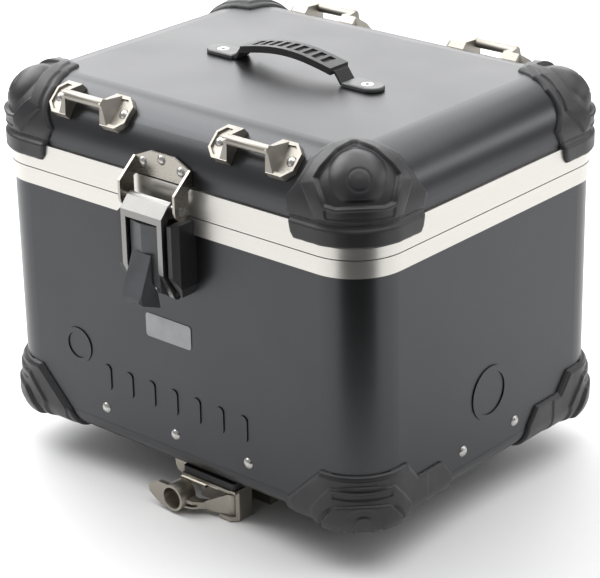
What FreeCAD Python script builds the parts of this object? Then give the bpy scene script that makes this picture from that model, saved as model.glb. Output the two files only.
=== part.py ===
# Motorcycle top case: aluminium box with a hinged lid, corner guards, front latch, lid handle,
# lashing eyes and a quick-release clamp with two hooks that hold it on a round-tube luggage rack.
# Millimetres. X is right, Y is back, Z is up. Front is the latch side.
import FreeCAD
import Part
import math
import os

# ---- driving sizes -------------------------------------------------------------------------
CASE_WIDTH = 410.0
CASE_DEPTH = 325.0
CASE_HEIGHT = 310.0
CORNER_RADIUS = 43.0
PAN_EDGE_RADIUS = 17.5
SHEET = 1.5
FLOOR_SHEET = 2.0
CREASE_HEIGHT = 17.5
SEAM_HEIGHT = 234.5
BASE_RIM_HEIGHT = 14.5
LID_RIM_HEIGHT = 23.0
RIM_PROUD = 2.3
RIM_WALL = 1.5
GUARD_SKIN = 3.3
GUARD_PANEL = 7.0
GUARD_CORNER = 9.0
LASHING_SPACING = 180.0
LASHING_BAR_DIAMETER = 8.5
HANDLE_SCREW_SPACING = 160.0
HANDLE_CENTRE_Y = -4.0
HINGE_LENGTH = 200.0
HINGE_PIN_DIAMETER = 5.0
RACK_TUBE_DIAMETER = 16.0
RACK_TUBE_SPACING = 239.0
RACK_TUBE_DROP = 23.0
HOOK_SPACING = 150.0
LOCK_BORE_DIAMETER = 19.0
LATCH_PIN_DIAMETER = 5.0

# ---- clearances ----------------------------------------------------------------------------
FIT = 0.3       # between separate bodies that sit against each other
BORE_FIT = 0.1  # radial, round fasteners and pins in their holes

# ---- where the case sits: rack clamp stands on z = 0, middle of the whole at x = y = 0 ------
CASE_LIFT = 36.0
CASE_BACK = 15.0

# ---- derived -------------------------------------------------------------------------------
HALF_W = CASE_WIDTH / 2.0
HALF_D = CASE_DEPTH / 2.0
TUBE_R = RACK_TUBE_DIAMETER / 2.0
LID_RIM_LOW = SEAM_HEIGHT + 0.8
LID_RIM_TOP = LID_RIM_LOW + LID_RIM_HEIGHT
BASE_RIM_LOW = SEAM_HEIGHT - BASE_RIM_HEIGHT
FRONT = -HALF_D
BACK = HALF_D
TUBE_FRONT_Y = -RACK_TUBE_SPACING / 2.0 - 1.5
TUBE_BACK_Y = RACK_TUBE_SPACING / 2.0 - 1.5
BEND_Z = CASE_HEIGHT - CORNER_RADIUS

os.makedirs("parts", exist_ok=True)
V = FreeCAD.Vector


# ---- shape helpers -------------------------------------------------------------------------
def box(x0, x1, y0, y1, z0, z1):
    return Part.makeBox(x1 - x0, y1 - y0, z1 - z0, V(x0, y0, z0))


def rod_x(x0, x1, y, z, r):
    return Part.makeCylinder(r, x1 - x0, V(x0, y, z), V(1, 0, 0))


def rod_y(y0, y1, x, z, r):
    return Part.makeCylinder(r, y1 - y0, V(x, y0, z), V(0, 1, 0))


def rod_z(z0, z1, x, y, r):
    return Part.makeCylinder(r, z1 - z0, V(x, y, z0), V(0, 0, 1))


def prism(points, direction):
    wire = Part.makePolygon(points + [points[0]])
    return Part.Face(wire).extrude(direction)


def prism_x(x0, x1, pairs):
    return prism([V(x0, p[0], p[1]) for p in pairs], V(x1 - x0, 0, 0))


def prism_y(y0, y1, pairs):
    return prism([V(p[0], y0, p[1]) for p in pairs], V(0, y1 - y0, 0))


def prism_z(z0, z1, pairs):
    return prism([V(p[0], p[1], z0) for p in pairs], V(0, 0, z1 - z0))


def joined(shapes):
    result = shapes[0]
    for shape in shapes[1:]:
        result = result.fuse(shape)
    return result.removeSplitter()


def without(shape, cutters):
    result = shape
    for cutter in cutters:
        result = result.cut(cutter)
    return result


def upright_edges(shape):
    found = []
    for edge in shape.Edges:
        if len(edge.Vertexes) == 2:
            step = edge.Vertexes[1].Point - edge.Vertexes[0].Point
            if abs(step.x) < 0.001 and abs(step.y) < 0.001 and abs(step.z) > 0.001:
                found.append(edge)
    return found


def edges_at_height(shape, height):
    found = []
    for edge in shape.Edges:
        bounds = edge.BoundBox
        if abs(bounds.ZMin - height) < 0.001 and abs(bounds.ZMax - height) < 0.001:
            found.append(edge)
    return found


def mirror_x(shape):
    return shape.mirror(V(0, 0, 0), V(1, 0, 0))


def mirror_y(shape):
    return shape.mirror(V(0, 0, 0), V(0, 1, 0))


def moved(shape, x, y, z):
    copy = shape.copy()
    copy.translate(V(x, y, z))
    return copy


def save(name, shape):
    placed = shape.copy()
    placed.translate(V(0, CASE_BACK, CASE_LIFT))
    placed.exportStep("parts/" + name + ".step")
    print(name, len(placed.Solids), placed.isValid())


def upright_block(grow, z0, z1):
    # the case outline in plan, grown all round by `grow`, with rounded upright corners
    block = box(-HALF_W - grow, HALF_W + grow, -HALF_D - grow, HALF_D + grow, z0, z1)
    return block.makeFillet(CORNER_RADIUS + grow, upright_edges(block))


def base_block(grow, low):
    # rounded lower body; `low` is the height of its underside
    block = upright_block(grow, low, SEAM_HEIGHT)
    return block.makeFillet(PAN_EDGE_RADIUS + grow, edges_at_height(block, low))


def lid_block(grow):
    # rounded lid body: upright corners, top edges and top corners share one radius
    block = box(-HALF_W - grow, HALF_W + grow, -HALF_D - grow, HALF_D + grow,
                SEAM_HEIGHT - 5.0, CASE_HEIGHT + grow)
    edges = upright_edges(block) + edges_at_height(block, CASE_HEIGHT + grow)
    return block.makeFillet(CORNER_RADIUS + grow, edges)


def ring(grow_out, grow_in, z0, z1):
    return upright_block(grow_out, z0, z1).cut(upright_block(grow_in, z0 - 1.0, z1 + 1.0))


def dome(radius, rise, point, direction):
    # a low round rivet or screw head standing on `point`
    sphere_r = (radius * radius + rise * rise) / (2.0 * rise)
    ball = Part.makeSphere(sphere_r, point - direction * (sphere_r - rise))
    keep = Part.makeCylinder(radius + 0.5, rise + 1.0, point, direction)
    return ball.common(keep)


def rivet(point, direction, grip, shank_r, head_r, rise):
    # head outside, shank through the sheets, low tail inside
    head = dome(head_r, rise, point, direction)
    shank = Part.makeCylinder(shank_r, grip + 0.2, point + direction * 0.1, direction * -1.0)
    inner = point - direction * grip
    tail = Part.makeCylinder(head_r * 0.75, 1.4, inner, direction * -1.0)
    return joined([head, shank, tail])


def hole(point, direction, shank_r, depth):
    start = point + direction * 6.0
    return Part.makeCylinder(shank_r + BORE_FIT, depth + 6.0, start, direction * -1.0)


def side_pairs():
    return [(-1.0, -1.0), (1.0, -1.0), (-1.0, 1.0), (1.0, 1.0)]


# ---- screw and rivet places ----------------------------------------------------------------
PAN_RIVET_Z = 31.0
PAN_RIVET_R = 2.4
pan_rivet_places = []
for step in (-1.0, 0.0, 1.0):
    pan_rivet_places.append((V(step * CASE_WIDTH * 0.2, FRONT, PAN_RIVET_Z), V(0, -1, 0)))
    pan_rivet_places.append((V(step * CASE_WIDTH * 0.2, BACK, PAN_RIVET_Z), V(0, 1, 0)))
for step in (-1.0, 1.0):
    pan_rivet_places.append((V(HALF_W, step * CASE_DEPTH * 0.11, PAN_RIVET_Z), V(1, 0, 0)))
    pan_rivet_places.append((V(-HALF_W, step * CASE_DEPTH * 0.11, PAN_RIVET_Z), V(-1, 0, 0)))

GUARD_SCREW_IN = 51.0
GUARD_SCREW_R = 2.4
base_guard_screws = []
lid_guard_screws = []
LID_SCREW_Z = LID_RIM_TOP + 6.0
for sx, sy in side_pairs():
    along_y = V(0, sy, 0)
    along_x = V(sx, 0, 0)
    base_guard_screws.append((V(sx * (HALF_W - GUARD_SCREW_IN), sy * HALF_D, PAN_RIVET_Z), along_y))
    base_guard_screws.append((V(sx * HALF_W, sy * (HALF_D - GUARD_SCREW_IN), PAN_RIVET_Z), along_x))
    lid_guard_screws.append((V(sx * (HALF_W - GUARD_SCREW_IN), sy * HALF_D, LID_SCREW_Z), along_y))
    lid_guard_screws.append((V(sx * HALF_W, sy * (HALF_D - GUARD_SCREW_IN), LID_SCREW_Z), along_x))

LATCH_SCREW_X = 19.0
LATCH_SCREW_R = 2.4
latch_screw_places = []
for sx in (-1.0, 1.0):
    for height in (180.0, 209.0):
        latch_screw_places.append(V(sx * LATCH_SCREW_X, FRONT, height))

BRACKET_RIVET_R = 2.4
bracket_rivet_places = [V(-21.0, FRONT, LID_RIM_TOP + 12.0), V(0.0, FRONT, LID_RIM_TOP + 17.5),
                        V(21.0, FRONT, LID_RIM_TOP + 12.0)]

HINGE_RIVET_R = 2.4
hinge_rivet_x = [HINGE_LENGTH * part for part in (-0.42, -0.21, 0.0, 0.21, 0.42)]
BODY_LEAF_RIVET_Z = SEAM_HEIGHT - 27.5
LID_LEAF_RIVET_Z = LID_RIM_TOP + 9.5

EYE_SCREW_IN = 37.0
EYE_SCREW_R = 2.9
EYE_ANGLE = math.radians(45.0)

HANDLE_SCREW_X = HANDLE_SCREW_SPACING / 2.0
HANDLE_SCREW_R = 2.9

TRAP_BOLT_R = 2.9
trap_bolt_places = [V(10.0, -105.0, 0.0), V(50.0, -105.0, 0.0), V(12.0, -141.0, 0.0)]
HOOK_BOLT_R = 2.9
hook_bolt_places = []
for sx in (-1.0, 1.0):
    hook_bolt_places.append(V(sx * HOOK_SPACING / 2.0, TUBE_BACK_Y - 2.0, 0.0))
    hook_bolt_places.append(V(sx * HOOK_SPACING / 2.0, TUBE_BACK_Y + 18.0, 0.0))

# ---- wall shell: folded sheet with the pressed ribs and rings standing a little proud -------
EMBOSS = 1.1


def emboss_stadium(x, z, wide, tall):
    r = wide / 2.0
    middle = box(x - r, x + r, FRONT - EMBOSS, FRONT + 0.5, z - tall / 2.0 + r, z + tall / 2.0 - r)
    low = rod_y(FRONT - EMBOSS, FRONT + 0.5, x, z - tall / 2.0 + r, r)
    high = rod_y(FRONT - EMBOSS, FRONT + 0.5, x, z + tall / 2.0 - r, r)
    return joined([middle, low, high])


def emboss_ring(point, direction, outer, inner):
    start = point - direction * 0.5
    full = Part.makeCylinder(outer, EMBOSS + 0.5, start, direction)
    return full.cut(Part.makeCylinder(inner, EMBOSS + 2.5, start - direction, direction))


wall = ring(0.0, -SHEET, CREASE_HEIGHT + 0.2, SEAM_HEIGHT - RIM_WALL - FIT)
for count in range(7):
    wall = wall.fuse(emboss_stadium(-78.0 + 26.0 * count, 61.0, 9.0, 24.0))
wall = wall.fuse(emboss_ring(V(-112.0, FRONT, 82.0), V(0, -1, 0), 16.0, 12.0))
for sx in (-1.0, 1.0):
    wall = wall.fuse(emboss_ring(V(sx * HALF_W, 0, 71.0), V(sx, 0, 0), 24.0, 19.0))
wall_cutters = []
for place, out in pan_rivet_places:
    wall_cutters.append(hole(place, out, PAN_RIVET_R, 8.0))
for place, out in base_guard_screws:
    wall_cutters.append(hole(place, out, GUARD_SCREW_R, 8.0))
for place in latch_screw_places:
    wall_cutters.append(hole(place, V(0, -1, 0), LATCH_SCREW_R, 8.0))
for x in hinge_rivet_x:
    wall_cutters.append(hole(V(x, BACK, BODY_LEAF_RIVET_Z), V(0, 1, 0), HINGE_RIVET_R, 8.0))
wall = without(wall, wall_cutters)
save("wall_shell", wall)

# ---- base pan: drawn tray, its upright flange stands inside the wall ------------------------
JOINT = 0.2
pan_inner = base_block(-2.0 * SHEET - JOINT, FLOOR_SHEET)
pan_outer = base_block(0.0, 0.0).common(box(-HALF_W, HALF_W, -HALF_D, HALF_D, 0.0, CREASE_HEIGHT))
pan_flange = upright_block(-SHEET - JOINT, CREASE_HEIGHT - 3.0, 45.0)
pan = without(joined([pan_outer, pan_flange]), [pan_inner])
pan_cutters = []
for place, out in pan_rivet_places:
    pan_cutters.append(hole(place, out, PAN_RIVET_R, 8.0))
for place, out in base_guard_screws:
    pan_cutters.append(hole(place, out, GUARD_SCREW_R, 8.0))
for place in trap_bolt_places:
    pan_cutters.append(rod_z(-1.0, 5.0, place.x, place.y, TRAP_BOLT_R + BORE_FIT))
for place in hook_bolt_places:
    pan_cutters.append(rod_z(-1.0, 5.0, place.x, place.y, HOOK_BOLT_R + BORE_FIT))
pan = without(pan, pan_cutters)
save("base_pan", pan)

PAN_STACK = 2.0 * SHEET + JOINT
rivets = []
for place, out in pan_rivet_places:
    rivets.append(rivet(place + out * 0.05, out, PAN_STACK + 0.1, PAN_RIVET_R, 4.7, 2.4))
save("base_rivets", Part.makeCompound(rivets))

# ---- rims: extruded channels crimped over the sheet edges, meeting at the seam --------------
INNER_LEG = -SHEET - FIT


def rim_channel(web_low, web_high, outer_low, outer_high, inner_low, inner_high):
    outer_leg = ring(RIM_PROUD, FIT, outer_low, outer_high)
    web = ring(RIM_PROUD, INNER_LEG - RIM_WALL, web_low, web_high)
    inner_leg = ring(INNER_LEG, INNER_LEG - RIM_WALL, inner_low, inner_high)
    return joined([outer_leg, web, inner_leg])


base_rim = rim_channel(SEAM_HEIGHT - RIM_WALL, SEAM_HEIGHT, BASE_RIM_LOW, SEAM_HEIGHT,
                       BASE_RIM_LOW + 1.0, SEAM_HEIGHT)
save("base_rim", base_rim)
lid_rim = rim_channel(LID_RIM_LOW, LID_RIM_LOW + RIM_WALL, LID_RIM_LOW, LID_RIM_TOP,
                      LID_RIM_LOW, LID_RIM_LOW + 15.0)
save("lid_rim", lid_rim)

# ---- lid seal: soft strip round the inside of the joint, carried by the lid rim --------------
SEAL_OUT = INNER_LEG - RIM_WALL - FIT
save("lid_seal", ring(SEAL_OUT, SEAL_OUT - 4.5, SEAM_HEIGHT - 4.0, SEAM_HEIGHT + 6.5))

# ---- lid shell -------------------------------------------------------------------------------
lid = lid_block(0.0).cut(lid_block(-SHEET))
lid_low = LID_RIM_LOW + RIM_WALL + FIT
lid = lid.common(box(-HALF_W - 1, HALF_W + 1, -HALF_D - 1, HALF_D + 1, lid_low, CASE_HEIGHT + 1))


def bend_point(radial, along, side):
    # a point over the front (side -1) or back (side 1) lid bend, `radial` off the bend centre
    y = (HALF_D - CORNER_RADIUS) + radial * math.cos(EYE_ANGLE)
    return V(along, side * y, BEND_Z + radial * math.sin(EYE_ANGLE))


eye_places = []
for sx, sy in side_pairs():
    eye_places.append((sx * LASHING_SPACING / 2.0, sy))
lid_cutters = []
for x, side in eye_places:
    outward = V(0, side * math.cos(EYE_ANGLE), math.sin(EYE_ANGLE))
    for way in (-1.0, 1.0):
        point = bend_point(CORNER_RADIUS, x + way * EYE_SCREW_IN, side)
        lid_cutters.append(hole(point, outward, EYE_SCREW_R, 6.0))
for place, out in lid_guard_screws:
    lid_cutters.append(hole(place, out, GUARD_SCREW_R, 6.0))
for place in bracket_rivet_places:
    lid_cutters.append(hole(place, V(0, -1, 0), BRACKET_RIVET_R, 8.0))
for x in hinge_rivet_x:
    lid_cutters.append(hole(V(x, BACK, LID_LEAF_RIVET_Z), V(0, 1, 0), HINGE_RIVET_R, 8.0))
for way in (-1.0, 1.0):
    point = V(way * HANDLE_SCREW_X, HANDLE_CENTRE_Y, CASE_HEIGHT)
    lid_cutters.append(hole(point, V(0, 0, 1), HANDLE_SCREW_R, 6.0))
lid = without(lid, lid_cutters)
save("lid_shell", lid)

# ---- lower corner guards: moulded skin with a raised panel, wrapping under the pan edge -----
UNDER = 38.0


def base_guard():
    skin = base_block(GUARD_SKIN, -GUARD_SKIN).cut(base_block(FIT, -FIT))
    panel = base_block(GUARD_CORNER, -5.0).cut(base_block(FIT, -FIT))
    skin_y = prism_y(-HALF_D - 30.0, 0.0, [(HALF_W - 45.0, 51.0), (HALF_W + 30.0, 51.0),
                     (HALF_W + 30.0, -20.0), (HALF_W - 96.0, -20.0), (HALF_W - 80.0, 16.0)])
    skin_x = prism_x(0.0, HALF_W + 30.0, [(-HALF_D + 52.0, 51.0), (-HALF_D - 30.0, 51.0),
                     (-HALF_D - 30.0, -20.0), (-HALF_D + 118.0, -20.0), (-HALF_D + 109.0, 19.0),
                     (-HALF_D + 97.0, 34.0), (-HALF_D + 66.0, 34.0)])
    panel_y = prism_y(-HALF_D - 30.0, 0.0, [(HALF_W - 38.0, 45.0), (HALF_W + 30.0, 45.0),
                      (HALF_W + 30.0, -20.0), (HALF_W - 76.0, -20.0), (HALF_W - 62.0, 16.0)])
    panel_x = prism_x(0.0, HALF_W + 30.0, [(-HALF_D + 44.0, 45.0), (-HALF_D - 30.0, 45.0),
                      (-HALF_D - 30.0, -20.0), (-HALF_D + 76.0, -20.0), (-HALF_D + 62.0, 16.0)])
    body = joined([skin.common(skin_y).common(skin_x), panel.common(panel_y).common(panel_x)])
    under = box(0.0, HALF_W - UNDER, -HALF_D + UNDER, 0.0, -30.0, 5.0)
    body = body.cut(under)
    return body


def guard_with_holes(body, places, depth):
    cutters = []
    for place, out in places:
        start = place - out * 1.0
        cutters.append(Part.makeCylinder(GUARD_SCREW_R + BORE_FIT, depth + 1.0, start, out))
    return without(body, cutters)


front_right = base_guard()
save("base_guard_front_right", guard_with_holes(front_right, base_guard_screws, GUARD_SKIN - 0.4))
save("base_guard_front_left", guard_with_holes(mirror_x(front_right), base_guard_screws, GUARD_SKIN - 0.4))
save("base_guard_rear_right", guard_with_holes(mirror_y(front_right), base_guard_screws, GUARD_SKIN - 0.4))
save("base_guard_rear_left",
     guard_with_holes(mirror_x(mirror_y(front_right)), base_guard_screws, GUARD_SKIN - 0.4))


def inside_screw(place, out, sheet_stack, bite):
    # pan-head screw put in from inside: head on the inner face, shank outward into the guard
    inner = place - out * (sheet_stack + 0.05)
    shank = Part.makeCylinder(GUARD_SCREW_R, sheet_stack + bite, inner, out)
    head = dome(4.4, 2.6, inner, out * -1.0)
    return joined([shank, head])


screws = []
for place, out in base_guard_screws:
    screws.append(inside_screw(place, out, PAN_STACK, GUARD_SKIN - 0.7))
save("base_guard_screws", Part.makeCompound(screws))

# ---- lid corner guards: skirt over the rim, skin over the bend, raised panel -----------------
SKIRT_LOW = LID_RIM_TOP - 12.5
# the guards take up the same share of the room between the eyes and the corner at any spacing
GUARD_REACH = (HALF_W - LASHING_SPACING / 2.0) * 60.0 / 115.0
LEDGE = LID_RIM_TOP + FIT


def lid_guard():
    skirt = ring(RIM_PROUD + FIT + 3.2, RIM_PROUD + FIT, SKIRT_LOW, LEDGE + 2.0)
    skin = lid_block(GUARD_SKIN).cut(lid_block(FIT)).common(
        box(-HALF_W - 20, HALF_W + 20, -HALF_D - 20, HALF_D + 20, LEDGE, CASE_HEIGHT + 20))
    panel = lid_block(GUARD_CORNER).cut(lid_block(FIT)).common(
        box(-HALF_W - 20, HALF_W + 20, -HALF_D - 20, HALF_D + 20, LEDGE, CASE_HEIGHT + 20))
    low = SKIRT_LOW - 6.0
    top = CASE_HEIGHT + 20.0
    outer = [(-57.0, low), (-60.0, LEDGE), (-GUARD_REACH - 7.0, LEDGE + 3.2),
             (-GUARD_REACH - 14.0, LEDGE + 17.2), (-GUARD_REACH - 3.0, LEDGE + 28.2),
             (-GUARD_REACH, top), (30.0, top), (30.0, low)]
    inner = [(-50.0, low), (-50.0, LEDGE + 8.0), (8.0 - GUARD_REACH - 6.0, LEDGE + 25.0), (8.0 - GUARD_REACH, LEDGE + 34.0),
             (10.0 - GUARD_REACH, top), (30.0, top), (30.0, low)]

    def region(pairs, corner_in, corner_r):
        wide = prism_y(-HALF_D - 30.0, 0.0, [(HALF_W + p[0], p[1]) for p in pairs])
        deep = prism_x(0.0, HALF_W + 30.0, [(-HALF_D - p[0], p[1]) for p in pairs])
        cutter = box(0.0, HALF_W - corner_in + corner_r, -HALF_D + corner_in - corner_r, 0.0,
                     CASE_HEIGHT - 20.0, top)
        round_part = rod_z(CASE_HEIGHT - 21.0, top + 1.0, HALF_W - corner_in + corner_r,
                           -HALF_D + corner_in - corner_r, corner_r)
        return wide.common(deep).cut(cutter.cut(round_part))

    outer_region = region(outer, GUARD_REACH, GUARD_REACH * 0.7)
    inner_region = region(inner, GUARD_REACH - 10.0, (GUARD_REACH - 10.0) * 0.72)
    body = joined([skirt.common(outer_region), skin.common(outer_region),
                   panel.common(inner_region)])
    return body


lid_front_right = lid_guard()
save("lid_guard_front_right", guard_with_holes(lid_front_right, lid_guard_screws, GUARD_SKIN - 0.4))
save("lid_guard_front_left", guard_with_holes(mirror_x(lid_front_right), lid_guard_screws, GUARD_SKIN - 0.4))
save("lid_guard_rear_right", guard_with_holes(mirror_y(lid_front_right), lid_guard_screws, GUARD_SKIN - 0.4))
save("lid_guard_rear_left",
     guard_with_holes(mirror_x(mirror_y(lid_front_right)), lid_guard_screws, GUARD_SKIN - 0.4))

screws = []
for place, out in lid_guard_screws:
    screws.append(inside_screw(place, out, SHEET, GUARD_SKIN - 0.7))
save("lid_guard_screws", Part.makeCompound(screws))

# ---- lashing eyes: cast loops over the lid bend, two screws each -----------------------------
BAR_R = LASHING_BAR_DIAMETER / 2.0
BAR_RADIAL = 13.5
EYE_HALF = 44.0
PAD_HALF = 15.0
POCKET_FLOOR = 3.2


def lashing_eye():
    # drawn flat: X along the bar, Y across the pad, Z away from the lid bend (0 = lid surface)
    pad = prism_z(-12.0, 5.2, [(20.0, -PAD_HALF), (EYE_HALF - 8.0, -PAD_HALF), (EYE_HALF, -7.5),
                  (EYE_HALF, 7.5), (EYE_HALF - 8.0, PAD_HALF), (20.0, PAD_HALF)])
    pocket = prism_z(POCKET_FLOOR, 12.0, [(24.0, -11.8), (EYE_HALF - 8.4, -12.2), (EYE_HALF - 2.0, -6.5),
                     (EYE_HALF - 2.0, 6.5), (EYE_HALF - 8.4, 12.2), (24.0, 11.8)])
    wedge = prism_x(20.0, 30.0, [(-PAD_HALF, -12.0), (PAD_HALF, -12.0), (PAD_HALF, 4.6), (BAR_R, BAR_RADIAL + 1.0),
                    (2.6, BAR_RADIAL + 4.0), (-2.6, BAR_RADIAL + 4.0), (-BAR_R, BAR_RADIAL + 1.0),
                    (-PAD_HALF, 4.6)])
    slope = prism_y(-20.0, 20.0, [(21.6, 30.0), (21.6, 17.8), (28.4, POCKET_FLOOR), (40.0, POCKET_FLOOR),
                                  (40.0, 30.0)])
    wedge = wedge.cut(slope)
    half = joined([pad.cut(pocket), wedge])
    other = mirror_x(half)
    bar = rod_x(-22.0, 22.0, 0.0, BAR_RADIAL, BAR_R)
    return joined([half, bar, other])


eye_flat = lashing_eye()


def placed_eye(x, side):
    eye = eye_flat.copy()
    eye.translate(V(0, 0, CORNER_RADIUS))
    eye.rotate(V(0, 0, 0), V(1, 0, 0), -side * (90.0 - math.degrees(EYE_ANGLE)))
    eye.translate(V(x, side * (HALF_D - CORNER_RADIUS), BEND_Z))
    return eye


LID_GROWN = lid_block(FIT)
eye_names = ["lashing_eye_front_left", "lashing_eye_front_right",
             "lashing_eye_rear_left", "lashing_eye_rear_right"]
eye_screws = []
eye_nuts = []
for index in range(4):
    x, side = eye_places[index]
    eye = placed_eye(x, side).cut(LID_GROWN)
    outward = V(0, side * math.cos(EYE_ANGLE), math.sin(EYE_ANGLE))
    for way in (-1.0, 1.0):
        seat = bend_point(CORNER_RADIUS + POCKET_FLOOR + 0.05, x + way * EYE_SCREW_IN, side)
        eye = eye.cut(hole(seat, outward, EYE_SCREW_R, 10.0))
        shank = Part.makeCylinder(EYE_SCREW_R, 11.0, seat + outward * 0.1, outward * -1.0)
        eye_screws.append(joined([dome(4.4, 2.8, seat, outward), shank]))
        inner = bend_point(CORNER_RADIUS - SHEET - 0.9, x + way * EYE_SCREW_IN, side)
        nut = Part.makeCylinder(5.5, 4.0, inner, outward * -1.0)
        nut_bore = Part.makeCylinder(EYE_SCREW_R + BORE_FIT, 8.0, inner + outward, outward * -1.0)
        eye_nuts.append(nut.cut(nut_bore))
    save(eye_names[index], eye)
save("lashing_eye_screws", Part.makeCompound(eye_screws))
save("lashing_eye_nuts", Part.makeCompound(eye_nuts))

# ---- lid handle: webbing strap held by two end caps, rubber grip over the middle -------------
LID_TOP = CASE_HEIGHT
CAP_HALF = 10.5
CAP_THICK = 3.6
HY = HANDLE_CENTRE_Y
caps = []
for way in (-1.0, 1.0):
    x_in = way * (HANDLE_SCREW_X - 19.0)
    x_mid = way * (HANDLE_SCREW_X + 5.0)
    low = LID_TOP + FIT
    plate = box(min(x_in, x_mid), max(x_in, x_mid), HY - CAP_HALF, HY + CAP_HALF,
                low, low + CAP_THICK)
    cap = joined([plate, rod_z(low, low + CAP_THICK, x_mid, HY, CAP_HALF)])
    cap = cap.makeChamfer(1.0, edges_at_height(cap, low + CAP_THICK))
    pocket_in = way * (HANDLE_SCREW_X - 26.0)
    pocket_out = way * (HANDLE_SCREW_X - 8.0)
    pocket = box(min(pocket_in, pocket_out), max(pocket_in, pocket_out),
                 HY - CAP_HALF + 1.6, HY + CAP_HALF - 1.6, low - 1.0, low + 2.2)
    cap = cap.cut(pocket)
    sx = way * HANDLE_SCREW_X
    cap = cap.cut(rod_z(low - 1.0, low + 6.0, sx, HY, HANDLE_SCREW_R + BORE_FIT))
    cone = Part.makeCone(HANDLE_SCREW_R + BORE_FIT, 5.6, 2.4, V(sx, HY, low + CAP_THICK - 2.4))
    cap = cap.cut(cone)
    caps.append(cap)
save("handle_cap_left", caps[0])
save("handle_cap_right", caps[1])

GRIP_HALF = 50.0
GRIP_TOP_MIDDLE = 21.0
GRIP_TOP_END = 14.0
GRIP_THICK = 6.0
STRAP_THICK = 1.6
STRAP_HALF_WIDTH = 8.5


def arch_height(x, middle, end, half):
    return end + (middle - end) * math.cos(math.pi / 2.0 * min(1.0, abs(x) / half))


def arch_band(half, middle_top, end_top, thick, y0, y1):
    top = []
    low = []
    count = 24
    for index in range(count + 1):
        x = -half + 2.0 * half * index / count
        height = LID_TOP + arch_height(x, middle_top, end_top, half)
        top.append((x, height))
        low.append((x, height - thick))
    return prism_y(y0, y1, top + low[::-1])


STRAP_LOW = GRIP_THICK - 2.0
grip = arch_band(GRIP_HALF, GRIP_TOP_MIDDLE, GRIP_TOP_END, GRIP_THICK, HY - 11.5, HY + 11.5)
grip = grip.cut(arch_band(GRIP_HALF + 0.001, GRIP_TOP_MIDDLE - STRAP_LOW + STRAP_THICK + FIT,
                          GRIP_TOP_END - STRAP_LOW + STRAP_THICK + FIT,
                          STRAP_THICK + 2.0 * FIT, HY - STRAP_HALF_WIDTH - FIT,
                          HY + STRAP_HALF_WIDTH + FIT))
for index in range(9):
    x = -38.0 + 9.5 * index
    top = LID_TOP + arch_height(x, GRIP_TOP_MIDDLE, GRIP_TOP_END, GRIP_HALF)
    grip = grip.cut(box(x - 3.1, x + 3.1, HY - 7.0, HY + 7.0, top - 1.5, top + 6.0))
save("handle_grip", grip)

strap_mid = arch_band(GRIP_HALF, GRIP_TOP_MIDDLE - STRAP_LOW + STRAP_THICK,
                      GRIP_TOP_END - STRAP_LOW + STRAP_THICK, STRAP_THICK,
                      HY - STRAP_HALF_WIDTH, HY + STRAP_HALF_WIDTH)
strap_parts = [strap_mid]
end_top = LID_TOP + GRIP_TOP_END - STRAP_LOW + STRAP_THICK
for way in (-1.0, 1.0):
    drop = prism_y(HY - STRAP_HALF_WIDTH, HY + STRAP_HALF_WIDTH,
                   [(way * (GRIP_HALF - 0.5), end_top), (way * (GRIP_HALF + 3.0), end_top - 0.6),
                    (way * (GRIP_HALF + 9.5), LID_TOP + 2.2), (way * (HANDLE_SCREW_X - 8.6), LID_TOP + 2.2),
                    (way * (HANDLE_SCREW_X - 8.6), LID_TOP + 0.5), (way * (GRIP_HALF + 8.0), LID_TOP + 0.5),
                    (way * (GRIP_HALF + 1.6), end_top - STRAP_THICK - 0.6),
                    (way * (GRIP_HALF - 0.5), end_top - STRAP_THICK)])
    strap_parts.append(drop)
save("handle_strap", joined(strap_parts))

screws = []
nuts = []
plates = []
for way in (-1.0, 1.0):
    sx = way * HANDLE_SCREW_X
    top = LID_TOP + FIT + CAP_THICK
    head = Part.makeCone(HANDLE_SCREW_R, 5.3, 2.2, V(sx, HY, top - 2.35))
    socket = prism_z(top - 1.4, top + 1.0, [(sx + 2.0 * math.cos(k * math.pi / 3.0),
                     HY + 2.0 * math.sin(k * math.pi / 3.0)) for k in range(6)])
    screws.append(joined([head, rod_z(top - 13.0, top - 2.3, sx, HY, HANDLE_SCREW_R)]).cut(socket))
    under = LID_TOP - SHEET - FIT
    plate = box(sx - 16.0, sx + 16.0, HY - 12.0, HY + 12.0, under - 2.0, under)
    plates.append(plate.cut(rod_z(under - 4.0, under + 2.0, sx, HY, HANDLE_SCREW_R + BORE_FIT)))
    nut = rod_z(under - 2.1 - 4.5, under - 2.1, sx, HY, 5.5)
    nuts.append(nut.cut(rod_z(under - 9.0, under + 2.0, sx, HY, HANDLE_SCREW_R + BORE_FIT)))
save("handle_screws", Part.makeCompound(screws))
save("handle_backing_plates", Part.makeCompound(plates))
save("handle_nuts", Part.makeCompound(nuts))

# ---- latch keeper on the lid: folded bracket with two ears and a cross pin -------------------
KEEP_Y = FRONT - 13.5
KEEP_Z = 243.0
KEEP_R = LATCH_PIN_DIAMETER / 2.0
EAR_IN = 29.0
EAR_OUT = 31.5
PLATE_IN = FRONT - FIT
PLATE_OUT = PLATE_IN - 2.0

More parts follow.
